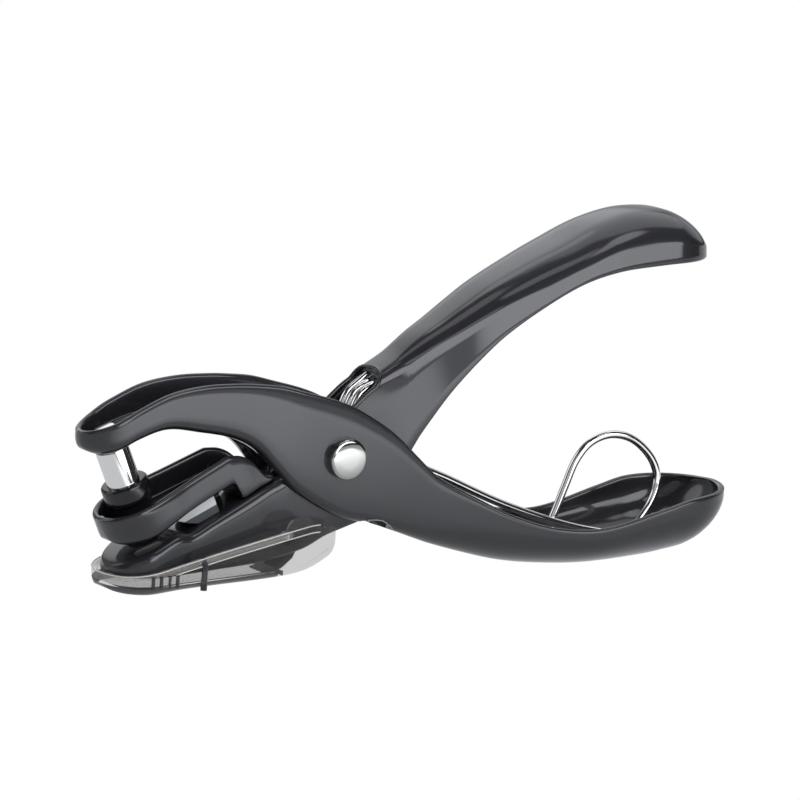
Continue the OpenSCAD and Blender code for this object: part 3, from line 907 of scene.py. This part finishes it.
def bush_profile(r):
    collar, stem, spigot = r + BUSH_WALL, r + STEM_SHARE * BUSH_WALL, r + SPIGOT_SHARE * BUSH_WALL
    foot = [(r, SPIGOT_LOW), (spigot, SPIGOT_LOW), (spigot, STEM_LOW), (stem, STEM_LOW)]
    hollow = arc((stem, COLLAR_LOW + COLLAR_HOLLOW), (collar - stem, COLLAR_HOLLOW), -90, 0, 6)
    top = arc((collar - COLLAR_ROUND, -COLLAR_ROUND), (COLLAR_ROUND, COLLAR_ROUND), 0, 90, 6)
    return foot + hollow + top + [(r, 0)]


class HOLEPUNCH_OT_guide(bpy.types.Operator):
    """Build the punch guide, its bush and the paper stop"""

    bl_idname = "hole_punch.guide"
    bl_label = "Punch Guide"

    def execute(self, context):
        bm = pressed_shell(GUIDE_ROWS, GUIDE_PLAN, GUIDE_SHEET, in_jaw)
        obj = to_object("punch_guide_channel", bm, get_material("powder_coat"))
        cut(obj, pin_hole(GUIDE_BORE_R, GUIDE_BORE_LOW, GUIDE_BORE_HIGH))
        finish_piece(obj, "handle_body", "black_coat", "punch_guide")

        bore = settings().pin_diameter / MM / 2 + BUSH_PLAY
        bm = lathe(bush_profile(bore), in_jaw)
        obj = to_object("guide_bush_ring", bm, get_material("blackened_steel"))
        finish_piece(obj, "handle_body", "dark_steel", "guide_bush")

        bm = prism(STOP_BLOCK, -STOP_HALF, STOP_HALF, jaw_side_view)
        round_edges(bm, STOP_EDGE, 2)
        foot = prism(STOP_FOOT, -STOP_HALF, STOP_HALF, jaw_side_view)
        web = prism(STOP_WEB, STOP_WEB_NEAR, STOP_HALF, jaw_side_view)
        obj = to_object("paper_stop_block", join(bm, foot, web), get_material("grey_nylon"))
        # Second material: painted shade for the stop's foot and the web behind it
        obj.data.materials.append(get_material("stop_painted_shade"))

        # Own pale grey above the split and in front of the web, painted shade everywhere else
        corner = in_jaw((STOP_REAR, 0, STOP_SPLIT))
        up = in_jaw((STOP_REAR, 0, STOP_SPLIT + 1)) - corner
        along = in_jaw((STOP_REAR + 1, 0, STOP_SPLIT)) - corner
        for face in obj.data.polygons:
            from_corner = face.center - corner
            is_pale = from_corner.dot(up) > 0 and from_corner.dot(along) < STOP_SLACK * MM * MM
            face.material_index = 0 if is_pale else 1
        finish_piece(obj, "handle_body", "grey_plate", "paper_stop")
        return {"FINISHED"}


# Pin, rivet and spring


class HOLEPUNCH_OT_pin(bpy.types.Operator):
    """Build the punch pin"""

    bl_idname = "hole_punch.pin"
    bl_label = "Punch Pin"

    def execute(self, context):
        r = settings().pin_diameter / MM / 2
        profile = [(0, PIN_LOW), (r - PIN_CHAMFER, PIN_LOW), (r, PIN_LOW + PIN_CHAMFER)]
        profile += [(r - a, SHOULDER - b) for a, b in SHOULDER_EDGE]
        profile += [(NECK_R, SHOULDER), (NECK_R, HEAD_LOW), (HEAD_R, HEAD_LOW)]
        profile += [(HEAD_R - a, HEAD_TOP - b) for a, b in HEAD_EDGE] + [(0, HEAD_TOP)]
        obj = to_object("punch_pin_body", lathe(profile, in_jaw), get_material("chrome_plate"))
        finish_piece(obj, "pin_body", "chrome", "punch_pin", smooth=30)
        return {"FINISHED"}


class HOLEPUNCH_OT_rivet(bpy.types.Operator):
    """Build the pivot rivet"""

    bl_idname = "hole_punch.rivet"
    bl_label = "Pivot Rivet"

    def execute(self, context):
        near_head = [(r, -h) for r, h in RIVET_HEAD]
        shank = [(RIVET_R, -RIVET_GRIP), (RIVET_R, RIVET_GRIP)]
        profile = near_head + shank + list(reversed(RIVET_HEAD))
        obj = to_object("pivot_rivet_body", lathe(profile, side_view), get_material("nickel_plate"))
        finish_piece(obj, "jaw_body", "chrome", "pivot_rivet", smooth=30)
        return {"FINISHED"}


def wire_path():
    """One wire: short leg, coil, a straight run to the long leg, and the raised loop."""
    rise = COIL_PITCH * (COIL_END - COIL_START) / 360

    def on_coil(share):
        a = math.radians(COIL_START + (COIL_END - COIL_START) * share)
        return Vector((COIL_X + COIL_R * math.cos(a), rise / 2 - rise * share, COIL_Z + COIL_R * math.sin(a)))

    def on_loop(u):
        return Vector([curve(WIRE_ROWS, u, k) for k in (WIRE_X, WIRE_Y, WIRE_Z)])

    leg = Vector((math.cos(math.radians(LEG_TURN)), 0, math.sin(math.radians(LEG_TURN))))
    pts = [on_coil(0) + leg * (LEG_LENGTH * (1 - k / LEG_STEPS)) for k in range(LEG_STEPS)]
    pts += [on_coil(k / COIL_STEPS) for k in range(COIL_STEPS + 1)]
    pts += [on_coil(1).lerp(on_loop(0), k / LEG_STEPS) for k in range(1, LEG_STEPS)]
    pts += [on_loop(k / WIRE_STEPS) for k in range((len(WIRE_ROWS) - 1) * WIRE_STEPS + 1)]
    return [at_pivot(p) for p in pts]


class HOLEPUNCH_OT_spring(bpy.types.Operator):
    """Build the wire return spring"""

    bl_idname = "hole_punch.spring"
    bl_label = "Return Spring"

    def execute(self, context):
        bm = sweep(wire_path(), settings().wire_diameter / 2, sides=16, side_axis=ACROSS)
        obj = to_object("return_spring_wire", bm, get_material("chrome_plate"))
        shade(obj)
        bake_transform(obj)
        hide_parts("return_spring")
        return {"FINISHED"}


# Tray


def line_height(line, x):
    return line[0] + line[1] * x


def split(obj, lines, end):
    """Lays edges along side-view lines and across one end, so that faces on either side can differ."""
    bm = bmesh.new()
    bm.from_mesh(obj.data)
    planes = [((0, line_height(a, 0)), (-a[1], 1)) for a in lines] + [((end, 0), (1, 0))]
    for (x, z), (nx, nz) in planes:
        geom = bm.verts[:] + bm.edges[:] + bm.faces[:]
        bmesh.ops.bisect_plane(bm, geom=geom, plane_co=at_pivot((x, 0, z)), plane_no=(nx, 0, nz))
    bm.to_mesh(obj.data)
    bm.free()


def rim_point(x, share, drop):
    return at_pivot((x, share * curve(TRAY_ROWS, x, HALF), curve(TRAY_ROWS, x, RIM) - drop))


def lit_edges():
    """Painted highlights of the tray's rim, as thin beads: the upper one runs round the nose, the lower one along
    each side.
    """
    half = [(LIT_EDGE_END - k, 1.0) for k in range(LIT_EDGE_STEPS)]
    half += arc((TRAY_PLAN.nose + TRAY_PLAN.nose_round, 0), (TRAY_PLAN.nose_round, 1), 90, 180, 12)
    upper = [rim_point(x, -share, UPPER_EDGE_DROP) for x, share in half]
    upper += [rim_point(x, share, UPPER_EDGE_DROP) for x, share in reversed(half[:-1])]
    paths = [upper]
    for side in (-1, 1):
        paths.append([rim_point(x, side, LOWER_EDGE_DROP) for x, share in half[:LOWER_EDGE_STEPS]])
    return [sweep(path, LIT_EDGE_R * MM, sides=8, side_axis=UP) for path in paths]


def tray_details():
    """Tongue, hinge bosses and discs, ribs and posts."""
    pieces = [prism(TONGUE, -TONGUE_HALF, TONGUE_HALF, side_view)]
    for side in (-1, 1):
        boss = sorted((side * BOSS_IN, side * BOSS_OUT))
        pieces.append(prism(circle(HINGE_X, HINGE_Z, BOSS_R), *boss, side_view))
        disc = sorted((side * DISC_IN, side * DISC_OUT))
        pieces.append(prism(circle(DISC_X, DISC_Z, DISC_R), *disc, side_view))
        for k in range(RIB_COUNT):
            rib = circle(RIB_X + RIB_PITCH * k, side * RIB_Y, RIB_R, 12)
            pieces.append(upright(rib, RIB_LOW, RIB_HIGH))
        pieces.append(upright(circle(POST_X, side * POST_Y, POST_R, 20), POST_LOW, POST_HIGH))
    return pieces


def tray_zone(face):
    """Which of the tray's materials a face has: 0 clear wall, 1 foot and details in painted shade, 2 thick rim in
    a paler painted light.
    """
    p = face.center / MM - PIVOT
    in_foot = p.x < FOOT_END and p.z < line_height(FOOT_LINE, p.x) and abs(face.normal.z) < FLAT_FLOOR
    in_tongue = p.x > TONGUE_FRONT and abs(p.y) < TONGUE_SIDE
    in_post = abs(p.x - POST_X) < POST_BAND and abs(p.y) > POST_FACE
    in_rib = RIB_FRONT < p.x < RIB_REAR and abs(p.y) > RIB_FACE
    if in_foot or in_tongue or in_post or in_rib:
        return 1
    return 2 if p.z > line_height(RIM_LINE, p.x) and p.x < RIM_END else 0


class HOLEPUNCH_OT_tray(bpy.types.Operator):
    """Build the clear chip tray"""

    bl_idname = "hole_punch.tray"
    bl_label = "Chip Tray"

    def execute(self, context):
        bm = pressed_shell(TRAY_ROWS, TRAY_PLAN, settings().tray_wall / MM, at_pivot)
        obj = to_object("chip_tray_shell", bm, get_material("smoked_styrene"))
        cut(
            obj,
            upright(box_outline(MOUTH_FRONT, MOUTH_REAR, MOUTH_HALF), MOUTH_LOW, MOUTH_HIGH),
            upright(box_outline(FOOT_CUT_FRONT, FOOT_CUT_REAR, CUT_REACH), FOOT - FOOT_CUT_DEEP, FOOT),
        )
        cut(obj, *tray_details(), operation="UNION")
        # Painted shade for the foot band and the small details
        obj.data.materials.append(get_material("smoked_styrene_painted_shade"))
        # The rim band is painted paler, as the light that the thick rim catches
        obj.data.materials.append(get_material("smoked_styrene_rim_painted_light"))
        split(obj, (FOOT_LINE, RIM_LINE), FOOT_END)
        for face in obj.data.polygons:
            face.material_index = tray_zone(face)
        # The beads are painted highlights along the rim's edges
        add_trim(obj, get_material("styrene_painted_highlight"), *lit_edges())
        finish_piece(obj, "tray_body", "smoke_clear", "chip_tray")
        return {"FINISHED"}


# Stage: lengths are in metres here

# What shiny faces mirror: heading and height in degrees, full to this angle, gone at that angle, brightness
STUDIO = (
    (40, 56, 22, 28, 1.1),
    (72, 32, 5, 28, 1.2),
    (86, 54, 6, 10, 1.7),
    (22, 24, 12, 24, 0.7),
    (-86, 18, 15, 22, 4.2),
    (-70, 24, 8, 15, 4.0),
    (-60, 16, 8, 13, 3.8),
    (-110, 42, 4, 9, 2.0),
    (-105, 77, 6, 9, 1.5),
    (-42, 68, 6, 11, 2.6),
    (-64, 69, 4, 8, 2.4),
    (150, 71, 8, 13, 1.2),
    (140, 28, 10, 18, 1.6),
    (60, 8, 10, 28, 0.45),
    (-140, 12, 18, 34, 0.5),
    (130, 12, 20, 45, 0.3),
)
STUDIO_DARK = 0.03

# Painted pool of light, glowing on the floor in front as shiny sides mirror it: middle, full and gone distance,
# brightness
POOL_MIDDLE = (0.03, -0.22, 0.0)
POOL_FULL, POOL_GONE = 0.04, 0.2
POOL_LOW, POOL_HIGH = 0.7, 3.2

# Lamps: name, place, size, watts. All point at the middle of the tool
LAMPS = (
    ("key", (-0.35, -0.55, 0.75), 0.5, 9),
    ("fill", (0.7, -0.6, 0.45), 0.6, 5),
    ("top", (0.05, 0.25, 0.9), 0.5, 7),
)
LAMP_AIM = (0, 0, 0.03)
FLOOR_SIZE, FLOOR_DROP = 3, 0.0002

# Camera: its right and up directions, pixels per millimetre, pixels from rivet to picture middle and to the lens
VIEW_RIGHT = (4.687, -2.957, 0.295)
VIEW_UP = (0.299, 1.016, 5.448)
VIEW_SCALE = 5.55
VIEW_SHIFT = (73.6, 51)
VIEW_AWAY = 6000
SENSOR, LENS = 36, 270
CLIP_START, CLIP_END = 0.05, 20


def add_lamp(name, place, size, watts):
    data = bpy.data.lights.new(name, "AREA")
    data.energy = watts
    data.size = size
    obj = bpy.data.objects.new(name, data)
    obj.location = place
    obj.visible_glossy = False
    obj.rotation_euler = (Vector(LAMP_AIM) - Vector(place)).to_track_quat("-Z", "Y").to_euler()
    bpy.context.scene.collection.objects.link(obj)


def add_camera():
    right, up = Vector(VIEW_RIGHT).normalized(), Vector(VIEW_UP).normalized()
    back = right.cross(up)
    middle = PIVOT + (right * VIEW_SHIFT[0] + up * VIEW_SHIFT[1]) / VIEW_SCALE
    data = bpy.data.cameras.new("camera")
    data.sensor_width = SENSOR
    data.lens = LENS
    data.clip_start = CLIP_START
    data.clip_end = CLIP_END
    obj = bpy.data.objects.new("camera", data)
    basis = Matrix((right, up, back)).transposed().to_4x4()
    place = (middle + back * (VIEW_AWAY / VIEW_SCALE)) * MM
    obj.matrix_world = Matrix.Translation(place) @ basis
    bpy.context.scene.collection.objects.link(obj)
    bpy.context.scene.camera = obj


def by_ray(tree, lit, mirrored):
    """White to the camera and through the tray, one surface to shiny faces, another to everything else."""
    path = add_node(tree, "ShaderNodeLightPath").outputs
    shiny = add_node(tree, "ShaderNodeMixShader", {0: path["Is Glossy Ray"], 1: lit, 2: mirrored})
    white = add_node(tree, "ShaderNodeEmission", {"Color": srgb("#ffffff"), "Strength": 1.0})
    rays = {0: path["Is Camera Ray"], 1: path["Is Transmission Ray"]}
    seen = add_node(tree, "ShaderNodeMath", rays, operation="MAXIMUM")
    mix = {0: seen.outputs[0], 1: shiny.outputs[0], 2: white.outputs[0]}
    return add_node(tree, "ShaderNodeMixShader", mix).outputs[0]


def bright_patch(tree, direction, azimuth, height, full, gone, strength):
    """A soft bright patch of the studio around one heading, angles in degrees."""
    a, e = math.radians(azimuth), math.radians(height)
    aim = (math.cos(e) * math.cos(a), math.cos(e) * math.sin(a), math.sin(e))
    dot = add_node(tree, "ShaderNodeVectorMath", {0: direction, 1: aim}, operation="DOT_PRODUCT")
    fade = {
        "Value": dot.outputs["Value"],
        "From Min": math.cos(math.radians(gone)),
        "From Max": math.cos(math.radians(full)),
        "To Max": strength,
    }
    return add_node(tree, "ShaderNodeMapRange", fade, interpolation_type="SMOOTHSTEP").outputs["Result"]


def studio_light(tree):
    """The brightest patch in each direction, never darker than the room."""
    coord = add_node(tree, "ShaderNodeTexCoord")
    total = STUDIO_DARK
    for patch in STUDIO:
        value = bright_patch(tree, coord.outputs["Generated"], *patch)
        total = add_node(tree, "ShaderNodeMath", {0: value, 1: total}, operation="MAXIMUM").outputs[0]
    return total


def floor_pool(tree):
    coord = add_node(tree, "ShaderNodeTexCoord")
    ends = {0: coord.outputs["Object"], 1: POOL_MIDDLE}
    away = add_node(tree, "ShaderNodeVectorMath", ends, operation="DISTANCE")
    fade = {
        "Value": away.outputs["Value"],
        "From Min": POOL_FULL,
        "From Max": POOL_GONE,
        "To Min": POOL_HIGH,
        "To Max": POOL_LOW,
    }
    return add_node(tree, "ShaderNodeMapRange", fade, interpolation_type="SMOOTHSTEP").outputs["Result"]


def light_world(world):
    world.use_nodes = True
    tree = world.node_tree
    tree.nodes.clear()
    soft = add_node(tree, "ShaderNodeBackground", {"Color": srgb("#f3f6f9"), "Strength": 0.5})
    studio = add_node(tree, "ShaderNodeBackground", {"Color": srgb("#f9fbff"), "Strength": studio_light(tree)})
    surface = by_ray(tree, soft.outputs[0], studio.outputs[0])
    add_node(tree, "ShaderNodeOutputWorld", {"Surface": surface})


def pale_floor():
    # Matt white paper sweep: plain and pale, with the object's soft shadow. To shiny faces it glows instead, as a
    # painted pool of light brightest in front of the tool
    mat = bpy.data.materials.new("pale_paper_floor")
    mat.use_nodes = True
    tree = mat.node_tree
    tree.nodes.clear()
    paper = add_node(tree, "ShaderNodeBsdfDiffuse", {"Color": srgb("#c2c2c2")})
    pool = add_node(tree, "ShaderNodeEmission", {"Color": srgb("#f7f9fe"), "Strength": floor_pool(tree)})
    surface = by_ray(tree, paper.outputs[0], pool.outputs[0])
    add_node(tree, "ShaderNodeOutputMaterial", {"Surface": surface})
    return mat


class HOLEPUNCH_OT_stage(bpy.types.Operator):
    """Set up floor, backdrop, lights and camera"""

    bl_idname = "hole_punch.stage"
    bl_label = "Stage"

    def execute(self, context):
        scene = bpy.context.scene
        scene.view_settings.view_transform = "Standard"
        scene.world = scene.world or bpy.data.worlds.new("world")
        light_world(scene.world)
        bm = bmesh.new()
        bmesh.ops.create_grid(bm, x_segments=1, y_segments=1, size=FLOOR_SIZE)
        bmesh.ops.translate(bm, vec=(0, 0, -FLOOR_DROP), verts=bm.verts)
        floor = to_object("floor", bm, pale_floor())
        for lamp in LAMPS:
            add_lamp(*lamp)
        add_camera()
        return {"FINISHED"}


PIECES = ("jaw_lever", "handle_lever", "guide", "pin", "rivet", "spring", "tray", "stage")


class HOLEPUNCH_PT_panel(bpy.types.Panel):
    """Lists the punch's sizes, colours and pieces"""

    bl_label = "Hole Punch"
    bl_idname = "HOLEPUNCH_PT_panel"
    bl_space_type = "VIEW_3D"
    bl_region_type = "UI"
    bl_category = "Hole Punch"

    def draw(self, context):
        for key in HolePunchSettings.__annotations__:
            self.layout.prop(context.scene.hole_punch, key)
        for piece in PIECES:
            self.layout.operator("hole_punch." + piece)


CLASSES = (
    HolePunchSettings,
    HOLEPUNCH_OT_jaw_lever,
    HOLEPUNCH_OT_handle_lever,
    HOLEPUNCH_OT_guide,
    HOLEPUNCH_OT_pin,
    HOLEPUNCH_OT_rivet,
    HOLEPUNCH_OT_spring,
    HOLEPUNCH_OT_tray,
    HOLEPUNCH_OT_stage,
    HOLEPUNCH_PT_panel,
)


def register():
    for cls in CLASSES:
        bpy.utils.register_class(cls)
    bpy.types.Scene.hole_punch = bpy.props.PointerProperty(type=HolePunchSettings)


def unregister():
    del bpy.types.Scene.hole_punch
    for cls in reversed(CLASSES):
        bpy.utils.unregister_class(cls)


def main():
    register()
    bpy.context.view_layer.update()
    for piece in PIECES:
        getattr(bpy.ops.hole_punch, piece)()


if __name__ == "__main__":
    main()
